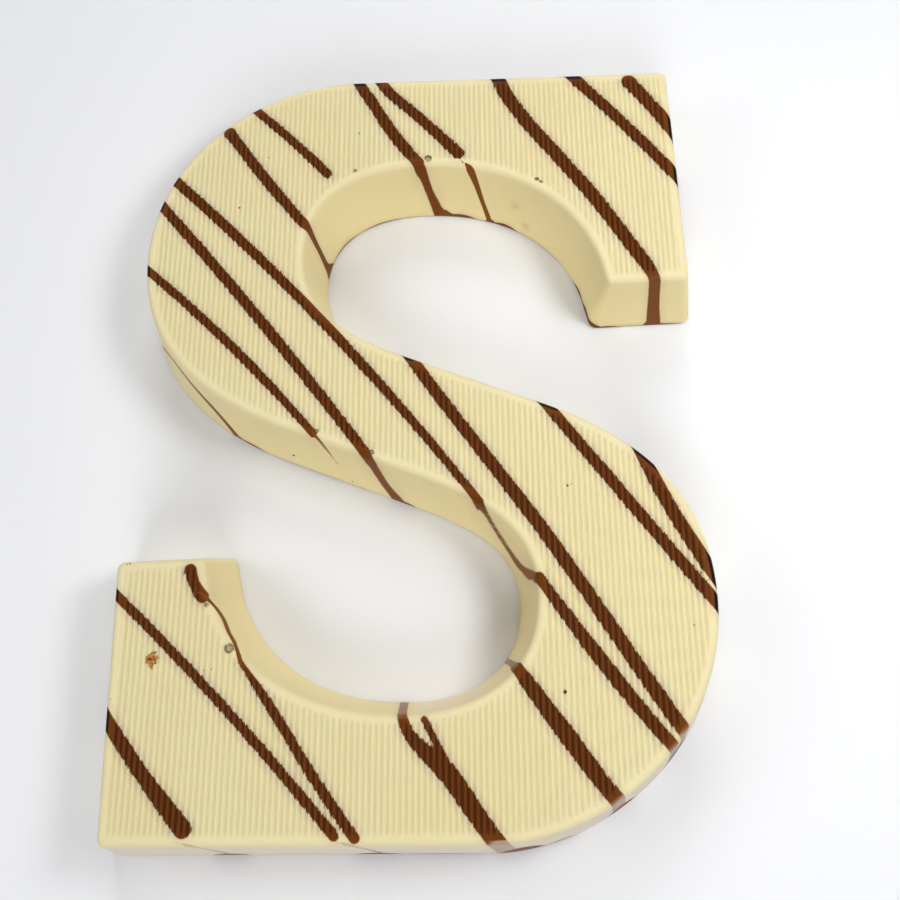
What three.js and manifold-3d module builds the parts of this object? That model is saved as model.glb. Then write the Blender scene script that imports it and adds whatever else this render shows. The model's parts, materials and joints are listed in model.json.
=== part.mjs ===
// A moulded chocolate letter S, lying on its flat poured side with the ribbed side up.
//
// One solid bar: its plan is a slab-serif S that looks the same after half a turn, its wall leans
// in towards the top, its upper edge is rounded over, and fine ribs run along Y on the top face,
// ending a little inside that edge. Millimetres, +Z up, the origin in the middle of the underside.

import * as THREE from 'three';
import { mergeVertices } from 'three/addons/utils/BufferGeometryUtils.js';
import Module from 'manifold-3d';

// ---------------------------------------------------------------- driving dimensions (mm, degrees)

const THICKNESS = 15.5;            // underside to the top of the ribs
const WALL_FLARE = 2.85;           // how much wider the underside is than the top, on each side
const EDGE_RADIUS = 1.2;           // rounding of the upper edge
const FOOT_RADIUS = 0.5;           // rounding where the wall meets the underside
const CORNER_RADIUS = 1.25;        // corners of the plan, at the top
const CORNER_GROWTH = 0.2;         // added to that radius for each millimetre further out

const RIB_PITCH = 1.03;
const RIB_DEPTH = 0.3;
const RIB_RIM = 1.35;              // smooth border between the rib ends and the outline
const GROOVE_MOUTH = 0.8;          // width of a groove at the top, as a share of the pitch
const GROOVE_FLOOR = 0.3;          // and at its floor
const OUTERMOST_GROOVE = 49;       // grooves are counted outwards from the one at x = 0

// The plan, drawn at the top of the wall and measured from the letter's centre. Half a turn about
// that centre gives the other half.
const TOP_Y = 74.1;                // straight upper edge of the letter
const SIDE_X = 52.1;               // straight side at the letter's outer corner
const SERIF_X = 53.0;              // the same side at the tip of the serif, a little wider
const SERIF_TIP_OUTER_Y = -26.8;   // end face of the lower left serif, at the side
const SERIF_TIP_INNER = [-37.6, -26.3];
const SERIF_INNER_HEADING = 103;   // direction in which the counter's edge arrives at that tip
const SERIF_INNER_STRAIGHT = 4.1;
const BOWL_TOP_X = -12.6;          // where the straight upper edge turns into the bowl
const BOWL_LEFT = [-52.9, 34.3];   // the leftmost point of the upper bowl
const SPINE_START = [-24.0, -1.9]; // lower edge of the straight part of the spine
const SPINE_HEADING = -21.3;
const SPINE_LENGTH = 26.0;
const COUNTER_RIGHT = [22.0, -33.8];  // rightmost point of the lower counter
const COUNTER_BOTTOM = [-2.1, -53.7]; // its lowest point

// Lengths of the Bezier handles at the start and the end of each round stretch.
const BOWL_UPPER_HANDLES = [18.0, 24.6];
const BOWL_LOWER_HANDLES = [18.9, 18.1];
const COUNTER_UPPER_HANDLES = [13.5, 12.3];
const COUNTER_LOWER_HANDLES = [12.8, 14.4];
const COUNTER_SERIF_HANDLES = [24.0, 8.6];

const CURVE_STEP = 3.0;            // length of one facet along a round stretch
const CORNER_STEPS = 4;            // facets in one corner of the plan
const EDGE_STEPS = 4;              // facets over the rounded upper edge
const FOOT_STEPS = 2;
const SAME_PLACE = 1e-6;           // points of two curves that are closer than this are one point
const WELD_DISTANCE = 1e-4;        // and so are the corners of two triangles

// ---------------------------------------------------------------- the plan

const LEFT = 180;
const DOWN = -90;

const vec = ([x, y]) => new THREE.Vector2(x, y);

function unit(degrees) {
  const radians = THREE.MathUtils.degToRad(degrees);
  return new THREE.Vector2(Math.cos(radians), Math.sin(radians));
}

// A Bezier curve that leaves `from` in one direction and arrives at `to` in another.
function sweep(from, heading, to, arrival, [startHandle, endHandle]) {
  const first = from.clone().addScaledVector(unit(heading), startHandle);
  const second = to.clone().addScaledVector(unit(arrival), -endHandle);
  return new THREE.CubicBezierCurve(from, first, second, to);
}

// Half of the outline, anticlockwise from the upper right corner to the lower left one, as smooth
// runs of curves that meet at corners. Each run gives its two ends and the curves between them.
function halfOutline() {
  const upperRight = vec([SIDE_X, TOP_Y]);
  const bowlTop = vec([BOWL_TOP_X, TOP_Y]);
  const bowlLeft = vec(BOWL_LEFT);
  const spineStart = vec(SPINE_START);
  const spineEnd = spineStart.clone().addScaledVector(unit(SPINE_HEADING), SPINE_LENGTH);
  const counterRight = vec(COUNTER_RIGHT);
  const counterBottom = vec(COUNTER_BOTTOM);
  const tipInner = vec(SERIF_TIP_INNER);
  const serifStart = tipInner.clone()
    .addScaledVector(unit(SERIF_INNER_HEADING), -SERIF_INNER_STRAIGHT);
  const tipOuter = vec([-SERIF_X, SERIF_TIP_OUTER_Y]);
  const lowerLeft = vec([-SIDE_X, -TOP_Y]);

  return [
    {
      from: upperRight,
      curves: [
        sweep(bowlTop, LEFT, bowlLeft, DOWN, BOWL_UPPER_HANDLES),
        sweep(bowlLeft, DOWN, spineStart, SPINE_HEADING, BOWL_LOWER_HANDLES),
        sweep(spineEnd, SPINE_HEADING, counterRight, DOWN, COUNTER_UPPER_HANDLES),
        sweep(counterRight, DOWN, counterBottom, LEFT, COUNTER_LOWER_HANDLES),
        sweep(counterBottom, LEFT, serifStart, SERIF_INNER_HEADING, COUNTER_SERIF_HANDLES),
      ],
      to: tipInner,
    },
    { from: tipInner, curves: [], to: tipOuter },
    { from: tipOuter, curves: [], to: lowerLeft },
  ];
}

const outward = (tangent) => new THREE.Vector2(tangent.y, -tangent.x);

// Points and outward directions along the round stretches of a run, and its end directions.
function traceRun({ from, curves, to }) {
  const points = [];
  for (const curve of curves) {
    const steps = Math.ceil(curve.getLength() / CURVE_STEP);
    for (let i = 0; i <= steps; i += 1) {
      const place = curve.getPoint(i / steps);
      const last = points.at(-1);
      if (!last || last.place.distanceTo(place) > SAME_PLACE) {
        points.push({ place, normal: outward(curve.getTangent(i / steps)) });
      }
    }
  }
  const first = points[0]?.place ?? to;
  const last = points.at(-1)?.place ?? from;
  return {
    from,
    to,
    points,
    startDirection: first.clone().sub(from).normalize(),
    endDirection: to.clone().sub(last).normalize(),
  };
}

const traced = halfOutline().map(traceRun);

// The outline moved outwards by `offset`, with its corners rounded, anticlockwise. The number of
// points is the same for every offset, so two such rings can be joined by a wall.
function outlineRing(offset) {
  const radius = CORNER_RADIUS + CORNER_GROWTH * offset;
  const half = [];
  traced.forEach((run, index) => {
    for (const { place, normal } of run.points) {
      half.push(place.clone().addScaledVector(normal, offset));
    }
    const next = traced[(index + 1) % traced.length];
    const turned = index === traced.length - 1 ? -1 : 1;
    const arriving = run.endDirection;
    const leaving = next.startDirection.clone().multiplyScalar(turned);
    half.push(...roundedCorner(run.to, arriving, leaving, offset, radius));
  });
  const otherHalf = half.map((point) => point.clone().negate());
  return [...half, ...otherHalf];
}

// A convex corner between two straight edges, both moved outwards by `offset`, then rounded.
function roundedCorner(corner, arriving, leaving, offset, radius) {
  const normalIn = outward(arriving);
  const normalOut = outward(leaving);
  const middle = normalIn.clone().add(normalOut);
  const perMillimetre = 1 / (1 + normalIn.dot(normalOut));
  const centre = corner.clone().addScaledVector(middle, (offset - radius) * perMillimetre);
  const start = Math.atan2(normalIn.y, normalIn.x);
  const turn = Math.acos(normalIn.dot(normalOut));
  const arc = [];
  for (let i = 0; i <= CORNER_STEPS; i += 1) {
    const angle = start + (turn * i) / CORNER_STEPS;
    arc.push(new THREE.Vector2(
      centre.x + radius * Math.cos(angle),
      centre.y + radius * Math.sin(angle),
    ));
  }
  return arc;
}

// ---------------------------------------------------------------- the body

// The wall's section as [offset from the outline, height]: the small rounding at the foot, the
// leaning wall, and the rounded upper edge that ends level with the top face.
function wallProfile() {
  const lean = Math.atan2(WALL_FLARE, THICKNESS);
  const wallOffset = (z) => WALL_FLARE * (1 - z / THICKNESS);
  const profile = [];

  const footReach = FOOT_RADIUS * Math.tan((Math.PI / 2 + lean) / 2);
  const footCentre = [WALL_FLARE - footReach, FOOT_RADIUS];
  for (let i = 0; i <= FOOT_STEPS; i += 1) {
    const angle = -Math.PI / 2 + ((Math.PI / 2 + lean) * i) / FOOT_STEPS;
    profile.push([
      footCentre[0] + FOOT_RADIUS * Math.cos(angle),
      footCentre[1] + FOOT_RADIUS * Math.sin(angle),
    ]);
  }

  const edgeReach = EDGE_RADIUS * Math.tan((Math.PI / 2 - lean) / 2);
  const edgeCentre = [wallOffset(THICKNESS) - edgeReach, THICKNESS - EDGE_RADIUS];
  for (let i = 0; i <= EDGE_STEPS; i += 1) {
    const angle = lean + ((Math.PI / 2 - lean) * i) / EDGE_STEPS;
    profile.push([
      edgeCentre[0] + EDGE_RADIUS * Math.cos(angle),
      edgeCentre[1] + EDGE_RADIUS * Math.sin(angle),
    ]);
  }
  return profile;
}

// A closed skin through a stack of rings with the same number of points, capped at both ends.
function skin(levels) {
  const size = levels[0].ring.length;
  const positions = levels.flatMap(({ ring, z }) => ring.flatMap(({ x, y }) => [x, y, z]));
  const faces = [];
  for (let level = 0; level + 1 < levels.length; level += 1) {
    for (let i = 0; i < size; i += 1) {
      const a = level * size + i;
      const b = level * size + ((i + 1) % size);
      faces.push(a, b, b + size, a, b + size, a + size);
    }
  }
  const topStart = (levels.length - 1) * size;
  for (const [a, b, c] of THREE.ShapeUtils.triangulateShape(levels[0].ring, [])) {
    faces.push(a, c, b);
  }
  for (const [a, b, c] of THREE.ShapeUtils.triangulateShape(levels.at(-1).ring, [])) {
    faces.push(topStart + a, topStart + b, topStart + c);
  }
  const geometry = new THREE.BufferGeometry();
  geometry.setAttribute('position', new THREE.Float32BufferAttribute(positions, 3));
  geometry.setIndex(faces);
  return geometry;
}

function bodyGeometry() {
  return skin(wallProfile().map(([offset, z]) => ({ ring: outlineRing(offset), z })));
}

// ---------------------------------------------------------------- the ribs

const TOOTH_RISE = 0.1;            // the teeth of the cutting comb start this far above the top
const COMB_RISE = 2;               // the comb's back ends this far above the top
const FIELD_RISE = 3;              // and the block that it is cut to reaches higher still

// All grooves as one comb: teeth that point down, joined by a slab above the top face.
function combGeometry() {
  const mouth = (GROOVE_MOUTH * RIB_PITCH) / 2;
  const floor = (GROOVE_FLOOR * RIB_PITCH) / 2;
  // The teeth get wider above the top face by the slope that they have below it.
  const shoulder = mouth + ((mouth - floor) * TOOTH_RISE) / RIB_DEPTH;
  const shoulderHeight = THICKNESS + TOOTH_RISE;
  const section = [];
  for (let k = -OUTERMOST_GROOVE; k <= OUTERMOST_GROOVE; k += 1) {
    const x = k * RIB_PITCH;
    section.push(new THREE.Vector2(x - shoulder, shoulderHeight));
    section.push(new THREE.Vector2(x - floor, THICKNESS - RIB_DEPTH));
    section.push(new THREE.Vector2(x + floor, THICKNESS - RIB_DEPTH));
    section.push(new THREE.Vector2(x + shoulder, shoulderHeight));
  }
  const end = OUTERMOST_GROOVE * RIB_PITCH + shoulder;
  section.push(new THREE.Vector2(end, THICKNESS + COMB_RISE));
  section.push(new THREE.Vector2(-end, THICKNESS + COMB_RISE));

  const reach = TOP_Y + WALL_FLARE;
  const geometry = new THREE.ExtrudeGeometry(new THREE.Shape(section), {
    depth: 2 * reach,
    bevelEnabled: false,
  });
  geometry.rotateX(Math.PI / 2);
  geometry.translate(0, reach, 0);
  return geometry;
}

// The part of the top face that the grooves may reach, as a block through that face.
function ribFieldGeometry() {
  const bottom = THICKNESS - 2 * RIB_DEPTH;
  const geometry = new THREE.ExtrudeGeometry(new THREE.Shape(outlineRing(-RIB_RIM)), {
    depth: THICKNESS + FIELD_RISE - bottom,
    bevelEnabled: false,
  });
  geometry.translate(0, 0, bottom);
  return geometry;
}

// ---------------------------------------------------------------- joining and cutting

const wasm = await Module();
wasm.setup();

function toSolid(geometry) {
  const bare = geometry.clone();
  bare.deleteAttribute('normal');
  bare.deleteAttribute('uv');
  const merged = mergeVertices(bare, WELD_DISTANCE);
  return new wasm.Manifold(new wasm.Mesh({
    numProp: 3,
    vertProperties: new Float32Array(merged.attributes.position.array),
    triVerts: new Uint32Array(merged.index.array),
  }));
}

function toGeometry(solid) {
  const { vertProperties, triVerts } = solid.getMesh();
  const geometry = new THREE.BufferGeometry();
  geometry.setAttribute('position', new THREE.Float32BufferAttribute(vertProperties, 3));
  geometry.setIndex([...triVerts]);
  geometry.computeVertexNormals();
  return geometry;
}

function letterGeometry() {
  const grooves = toSolid(combGeometry()).intersect(toSolid(ribFieldGeometry()));
  return toGeometry(toSolid(bodyGeometry()).subtract(grooves));
}

// ---------------------------------------------------------------- the letter

const whiteChocolate = new THREE.MeshStandardMaterial({
  color: '#ecdfae',
  roughness: 0.42,
  metalness: 0,
});

const letter = new THREE.Mesh(letterGeometry(), whiteChocolate);
letter.name = 'letter';

const part = new THREE.Group();
part.add(letter);

export default part;
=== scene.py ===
# %% [markdown]
# # A moulded chocolate letter, dressed in Blender
#
# The object is a letter S cast in white chocolate. Lines of dark chocolate were piped across the
# empty mould first and the white was poured over them, so the stripes lie level with the surface.
# The mould's floor was finely ribbed: turned out, the letter lies on its flat poured side with the
# ribs on top.
#
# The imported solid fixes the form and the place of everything. This script replaces it by a finer
# surface of the same form and gives that its colours. Lengths are in millimetres up to the moment
# that a mesh is made, and meshes are in metres.

# %% The fixed frame
import json

import bpy
import numpy as np
from mathutils import Matrix, Vector, geometry

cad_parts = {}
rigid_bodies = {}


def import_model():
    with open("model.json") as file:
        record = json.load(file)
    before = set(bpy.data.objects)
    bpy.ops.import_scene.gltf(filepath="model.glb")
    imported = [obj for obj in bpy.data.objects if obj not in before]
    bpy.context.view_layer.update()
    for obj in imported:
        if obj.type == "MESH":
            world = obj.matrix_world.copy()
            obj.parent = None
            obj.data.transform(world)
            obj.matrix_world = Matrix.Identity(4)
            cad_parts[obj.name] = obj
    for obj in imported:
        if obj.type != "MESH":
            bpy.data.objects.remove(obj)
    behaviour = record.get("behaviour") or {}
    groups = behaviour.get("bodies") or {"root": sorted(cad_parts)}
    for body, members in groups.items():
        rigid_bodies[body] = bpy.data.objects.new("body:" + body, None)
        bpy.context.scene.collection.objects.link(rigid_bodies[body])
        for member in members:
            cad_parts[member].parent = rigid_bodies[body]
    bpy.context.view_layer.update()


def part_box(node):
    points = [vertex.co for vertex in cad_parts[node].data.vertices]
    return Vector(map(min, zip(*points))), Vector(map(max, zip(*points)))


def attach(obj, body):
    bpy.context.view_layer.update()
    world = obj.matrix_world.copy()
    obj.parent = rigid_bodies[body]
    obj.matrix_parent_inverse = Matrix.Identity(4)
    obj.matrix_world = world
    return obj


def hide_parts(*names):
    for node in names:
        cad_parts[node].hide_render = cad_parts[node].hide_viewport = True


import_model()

MM = 0.001                       # metres in a millimetre
low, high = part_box("letter")
THICKNESS = (high.z - low.z) / MM
print("the solid letter measures", [round(side / MM, 2) for side in high - low], "mm")

# %% [markdown]
# ## The plan of the letter
#
# Seen from above, the S is a slab-serif letter that looks the same after half a turn, so only half
# of its outline is drawn. It could be traced with dozens of points. It is drawn here as a sign
# writer would: straight lines, and round strokes that leave one point in a given direction and
# arrive at another in a given direction. The sizes are those of the solid.

# %% Driving sizes of the plan
TOP_Y = 74.1                     # straight upper edge of the letter
SIDE_X = 52.1                    # straight side at the letter's outer corner
SERIF_X = 53.0                   # the same side at the tip of the serif
SERIF_TIP_OUTER_Y = -26.8
SERIF_TIP_INNER = (-37.6, -26.3)
SERIF_INNER_HEADING = 103        # degrees, like all headings here
SERIF_INNER_STRAIGHT = 4.1
BOWL_TOP_X = -12.6               # where the straight upper edge turns into the bowl
BOWL_LEFT = (-52.9, 34.3)
SPINE_START = (-24.0, -1.9)      # the straight part of the spine's lower edge
SPINE_HEADING = -21.3
SPINE_LENGTH = 26.0
COUNTER_RIGHT = (22.0, -33.8)    # rightmost point of the lower counter
COUNTER_BOTTOM = (-2.1, -53.7)   # and its lowest point

OUTLINE_STEP = 0.55              # distance between two points along the outline
CORNER_RADIUS = 1.25
CORNER_GROWTH = 0.2              # added to that radius for each millimetre further out
CORNER_STEPS = 6


def unit(degrees):
    """The direction that points that many degrees anticlockwise from +X."""
    angle = np.radians(degrees)
    return np.array([np.cos(angle), np.sin(angle)])


def outward(direction):
    """A direction turned a quarter turn clockwise: outwards, on an anticlockwise outline."""
    return np.stack([direction[..., 1], -direction[..., 0]], -1)


def sweep(start, heading, end, arrival, handles):
    """A cubic Bezier curve from start to end: its handles lie along the heading at the start and
    against the arrival at the end. Returns its points and the outward directions there."""
    start, end = np.array(start, float), np.array(end, float)
    first = start + unit(heading) * handles[0]
    second = end - unit(arrival) * handles[1]
    steps = int(np.ceil(np.linalg.norm(end - start) * 1.1 / OUTLINE_STEP))
    t = np.linspace(0, 1, steps + 1)[:, None]
    s = 1 - t
    place = s**3 * start + 3 * s * s * t * first + 3 * s * t * t * second + t**3 * end
    along = s * s * (first - start) + 2 * s * t * (second - first) + t * t * (end - second)
    return place, outward(along / np.linalg.norm(along, axis=1, keepdims=True))


# %% Half of the outline, anticlockwise from the upper right corner to the lower left one
spine_end = np.array(SPINE_START) + unit(SPINE_HEADING) * SPINE_LENGTH
serif_start = np.array(SERIF_TIP_INNER) - unit(SERIF_INNER_HEADING) * SERIF_INNER_STRAIGHT

bowl = [
    sweep((BOWL_TOP_X, TOP_Y), 180, BOWL_LEFT, -90, (18.0, 24.6)),
    sweep(BOWL_LEFT, -90, SPINE_START, SPINE_HEADING, (18.9, 18.1)),
]
spine = sweep(SPINE_START, SPINE_HEADING, spine_end, SPINE_HEADING, (SPINE_LENGTH / 3,) * 2)
counter = [
    sweep(spine_end, SPINE_HEADING, COUNTER_RIGHT, -90, (13.5, 12.3)),
    sweep(COUNTER_RIGHT, -90, COUNTER_BOTTOM, 180, (12.8, 14.4)),
    sweep(COUNTER_BOTTOM, 180, serif_start, SERIF_INNER_HEADING, (24.0, 8.6)),
]
strokes = [*bowl, spine, *counter]
smooth_places = np.concatenate([place[:-1] for place, _ in strokes] + [strokes[-1][0][-1:]])
smooth_normals = np.concatenate([side[:-1] for _, side in strokes] + [strokes[-1][1][-1:]])

corners = np.array([(SIDE_X, TOP_Y), SERIF_TIP_INNER, (-SERIF_X, SERIF_TIP_OUTER_Y), (-SIDE_X, -TOP_Y)])
arrive_from = np.array([(SERIF_X, -SERIF_TIP_OUTER_Y), serif_start, corners[1], corners[2]])
leave_to = np.array([(BOWL_TOP_X, TOP_Y), corners[2], corners[3], (-BOWL_TOP_X, -TOP_Y)])
print(len(smooth_places), "points on the smooth run of half the outline, and", len(corners) - 1, "corners")

# %% [markdown]
# ## Rings round the letter
#
# Every level of the wall is the same outline moved in or out a little, so the whole wall is one
# profile carried along one path. A corner of the mould is never sharp: it is an arc that touches
# both of its sides.


# %% The outline, moved outwards
def direction(start, end):
    """The unit vector from start to end."""
    return (end - start) / np.linalg.norm(end - start)


def corner_arc(index, offset):
    """The rounded corner between two straight sides that were both moved outwards by offset. Its
    centre lies on the bisector, one radius inside both sides."""
    radius = CORNER_RADIUS + CORNER_GROWTH * offset
    side_in = outward(direction(arrive_from[index], corners[index]))
    side_out = outward(direction(corners[index], leave_to[index]))
    centre = corners[index] + (side_in + side_out) * (offset - radius) / (1 + side_in @ side_out)
    turn = np.arccos(side_in @ side_out)
    angle = np.arctan2(side_in[1], side_in[0]) + turn * np.linspace(0, 1, CORNER_STEPS + 1)
    return centre + radius * np.stack([np.cos(angle), np.sin(angle)], -1)


def bent_pieces(offset):
    """The round pieces of the whole outline in order; straight sides join them."""
    half = [smooth_places + smooth_normals * offset, *(corner_arc(i, offset) for i in (1, 2, 3))]
    return half + [-piece for piece in half]


def straight_steps():
    """How many points each straight side gets, from its length at offset zero."""
    pieces = bent_pieces(0)
    gaps = [np.linalg.norm(after[0] - here[-1]) for here, after in zip(pieces, pieces[1:] + pieces[:1])]
    return [max(1, int(round(gap / OUTLINE_STEP))) for gap in gaps]


STRAIGHT_STEPS = straight_steps()


def ring(offset):
    """The closed outline moved outwards by offset, as an array of points. Point number k lies on
    the same spot of the outline for every offset."""
    pieces = bent_pieces(offset)
    parts = []
    for here, after, steps in zip(pieces, pieces[1:] + pieces[:1], STRAIGHT_STEPS):
        share = np.linspace(0, 1, steps + 1)[1:-1, None]
        parts += [here, here[-1] + (after[0] - here[-1]) * share]
    return np.concatenate(parts)


top_outline = ring(0)
print(len(top_outline), "points in a ring; the top outline measures",
      np.ptp(top_outline, axis=0).round(2), "mm")

# %% [markdown]
# ## Measuring on the plan
#
# Ribs end near the edge, stripes have a width and bubbles have a place, so most of the detail asks
# one question: how far is a point from a line? One function answers it for many points and many
# short lines at once, with whole arrays.

# %% Distances and the inside of the outline
CHUNK = 400                      # points measured at a time, so that the arrays stay small
OUTLINE_SKIP = 3                 # every third point gives a distance to a few hundredths of a mm


def nearest(points, starts, ends, half_widths):
    """For every point: its distance from the nearest band, negative inside, and that band's number
    and the share along it. A band is a short straight line with a half width at each end. The
    nearest place on a line is the foot of the perpendicular, kept between the line's two ends."""
    start_x, start_y = starts.T.astype(np.float32)
    along_x, along_y = (ends - starts).T.astype(np.float32)
    narrow, wider = half_widths[:, 0].astype(np.float32), np.diff(half_widths).T[0].astype(np.float32)
    square = np.maximum(along_x**2 + along_y**2, 1e-9)
    found = []
    for block in np.array_split(points.astype(np.float32), max(1, len(points) // CHUNK)):
        gap_x, gap_y = block[:, :1] - start_x, block[:, 1:] - start_y
        share = np.clip((gap_x * along_x + gap_y * along_y) / square, 0, 1)
        off = np.sqrt((gap_x - share * along_x) ** 2 + (gap_y - share * along_y) ** 2)
        off -= narrow + share * wider
        band = off.argmin(1)
        row = np.arange(len(block))
        found.append(np.stack([off[row, band], band, share[row, band]], 1))
    return np.concatenate(found)


def edge_distance(points, outline):
    """How far each point is from a closed outline."""
    if len(points) == 0:
        return np.zeros(0)
    coarse = outline[::OUTLINE_SKIP]
    return nearest(points, coarse, np.roll(coarse, -1, 0), np.zeros((len(coarse), 2)))[:, 0]


def inside(points, outline):
    """Which points lie inside a closed outline: a line straight up from them crosses it an odd
    number of times."""
    if len(points) == 0:
        return np.zeros(0, bool)
    ends = np.roll(outline, -1, 0)
    slope = (ends - outline)[:, 1] / np.where(ends[:, 0] == outline[:, 0], 1, ends[:, 0] - outline[:, 0])
    found = []
    for block in np.array_split(points, max(1, len(points) // CHUNK)):
        x, y = block[:, :1], block[:, 1:]
        spans = (outline[:, 0] > x) != (ends[:, 0] > x)
        above = outline[:, 1] + (x - outline[:, 0]) * slope > y
        found.append((spans & above).sum(1) % 2 == 1)
    return np.concatenate(found)


def ease(value, start, end):
    """A smooth step: 0 before start, 1 after end, with no kink at either."""
    t = np.clip((value - start) / (end - start), 0, 1)
    return t * t * (3 - 2 * t)


# %% [markdown]
# ## The wall
#
# The wall leans in, or the letter would not leave its mould. Its upper edge is rounded over, and
# where it meets the poured side there is only a slight rounding. A bevel modifier on a sharp block
# would round every edge alike. A profile of offset and height gives each edge its own radius.

# %% The profile of the wall, from the underside to the top face
WALL_FLARE = 2.85                # how much wider the underside is, on each side
EDGE_RADIUS = 1.2
FOOT_RADIUS = 0.5
EDGE_STEPS = 7
FOOT_STEPS = 3
WALL_STEPS = 10

lean = np.arctan2(WALL_FLARE, THICKNESS)


def arc(centre, radius, start, end, steps):
    """Points on a circle between two angles in radians, as rows of offset and height."""
    angle = np.linspace(start, end, steps + 1)
    return np.stack([centre[0] + radius * np.cos(angle), centre[1] + radius * np.sin(angle)], 1)


foot_reach = FOOT_RADIUS * np.tan((np.pi / 2 + lean) / 2)
edge_reach = EDGE_RADIUS * np.tan((np.pi / 2 - lean) / 2)
foot = arc((WALL_FLARE - foot_reach, FOOT_RADIUS), FOOT_RADIUS, -np.pi / 2, lean, FOOT_STEPS)
edge = arc((-edge_reach, THICKNESS - EDGE_RADIUS), EDGE_RADIUS, lean, np.pi / 2, EDGE_STEPS)
between = foot[-1] + (edge[0] - foot[-1]) * np.linspace(0, 1, WALL_STEPS + 1)[1:-1, None]
profile = np.concatenate([foot, between, edge])

wall = np.concatenate([np.column_stack([ring(offset), np.full(len(top_outline), z)])
                       for offset, z in profile])
print(len(profile), "levels in the wall, which leans", round(float(np.degrees(lean)), 1), "degrees")

# %% [markdown]
# ## Filling a ring with a grid
#
# The ribs run straight along Y, so the top face wants a grid whose columns lie along the ribs:
# then a crest is a row of points and shades cleanly. The outline is curved and never meets such a
# grid. Whole squares are kept as they are, and the narrow zone between their stepped border and
# the outline is filled with triangles by a constrained Delaunay triangulation.


# %% A grid inside a ring
SPOT_RINGS = np.array([0.0, 0.25, 0.5, 0.7, 0.85, 1.0, 1.15, 1.35])
SPOT_SPOKES = 20
SPOT_CLEARING = 1.5              # squares make room up to this many radii round a spot
INSIDE_ONLY = 1                  # the triangulation's mode that keeps what the outline encloses
SAME_POINT = 1e-7                # mm within which the triangulation takes two points for one


def spot_points(spots):
    """Fine points round each spot (x, y, radius): circles of points, with one in the middle."""
    angle = np.linspace(0, 2 * np.pi, SPOT_SPOKES, endpoint=False)
    circles = (SPOT_RINGS[1:, None, None] * np.stack([np.cos(angle), np.sin(angle)], -1)).reshape(-1, 2)
    circles = np.concatenate([np.zeros((1, 2)), circles])
    return (spots[:, None, :2] + circles * spots[:, None, 2:]).reshape(-1, 2)


def grid_cap(outline, step_x, step_y, margin, spots=np.zeros((0, 3))):
    """Fills a closed outline. Returns plan points, the outline's own points first, and faces as
    rows of four point numbers, the last repeated in a triangle, all anticlockwise. Round each
    spot the squares give way to finer points. The triangulation itself leaves out what lies beyond
    the outline: three points of a straight side make a triangle with no width, and measuring where
    its middle lies would not tell."""
    reach = np.abs(outline).max(0)
    xs = np.arange(-np.ceil(reach[0] / step_x), np.ceil(reach[0] / step_x) + 1) * step_x
    ys = np.arange(-np.ceil(reach[1] / step_y), np.ceil(reach[1] / step_y) + 1) * step_y
    grid = np.stack(np.meshgrid(xs, ys, indexing="ij"), -1)
    flat = grid.reshape(-1, 2)
    held = inside(flat, outline)
    held[held] = edge_distance(flat[held], outline) > margin
    held = held.reshape(len(xs), len(ys))
    whole = held[:-1, :-1] & held[1:, :-1] & held[:-1, 1:] & held[1:, 1:]
    middles = grid[:-1, :-1] + (step_x / 2, step_y / 2)
    for x, y, radius in spots:
        whole &= np.linalg.norm(middles - (x, y), axis=2) > SPOT_CLEARING * radius + step_y / 2
    fine = spot_points(spots)
    fine = fine[inside(fine, outline)]
    fine = fine[edge_distance(fine, outline) > margin]

    used = np.zeros_like(held)
    for dx, dy in ((0, 0), (1, 0), (1, 1), (0, 1)):
        used[dx:len(xs) - 1 + dx, dy:len(ys) - 1 + dy] |= whole
    number = np.full(held.shape, -1)
    number[used] = len(outline) + np.arange(used.sum())
    squares = np.stack([number[:-1, :-1][whole], number[1:, :-1][whole],
                        number[1:, 1:][whole], number[:-1, 1:][whole]], 1)
    points = np.concatenate([outline, grid[used], fine])

    sides = np.concatenate([squares[:, [k, (k + 1) % 4]] for k in range(4)])
    keys = np.sort(sides, axis=1) @ np.array([len(points), 1])
    _, first, count = np.unique(keys, return_index=True, return_counts=True)
    border = sides[first[count == 1]]
    rim = np.stack([np.arange(len(outline)), np.roll(np.arange(len(outline)), -1)], 1)

    added = np.arange(len(points) - len(fine), len(points))
    known = np.unique(np.concatenate([rim.ravel(), border.ravel(), added]))
    local = np.searchsorted(known, np.concatenate([rim, border]))
    corners_of = [Vector(p) for p in points[known]]
    found = geometry.delaunay_2d_cdt(corners_of, local.tolist(), [], INSIDE_ONLY, SAME_POINT)
    back = known[[origin[0] for origin in found[3]]]
    triangles = back[np.array(found[2])]
    a, b, c = (points[triangles[:, k]] for k in range(3))
    centre = (a + b + c) / 3
    cell = np.floor((centre - (xs[0], ys[0])) / (step_x, step_y)).astype(int)
    cell = np.clip(cell, 0, np.array(whole.shape) - 1)
    triangles = triangles[~whole[cell[:, 0], cell[:, 1]]]
    return points, np.concatenate([squares, triangles[:, [0, 1, 2, 2]]])


# %% [markdown]
# ## The ribbed top face
#
# The ribs are a little over a millimetre apart and shallow. A bump texture would draw them, but
# the outline of the top would stay flat against the light and the exported mesh would be bare, so
# they are real. Each groove is a rounded trough, and it runs out in a smooth border just inside
# the rounded edge.

# %% Air bubbles that opened at the upper edge, as (x, y, radius, depth)
BUBBLES = np.array([
    (2.9, 55.1, 0.75, 0.35), (24.7, 49.5, 0.45, 0.3), (25.5, 48.9, 0.35, 0.25),
    (-31.9, -42.2, 0.85, 0.35), (-7.7, -7.1, 0.5, 0.3), (-18.0, -2.8, 0.45, 0.25),
    (-11.9, 52.7, 0.4, 0.2), (-36.4, -34.6, 0.4, 0.25),
])

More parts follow.
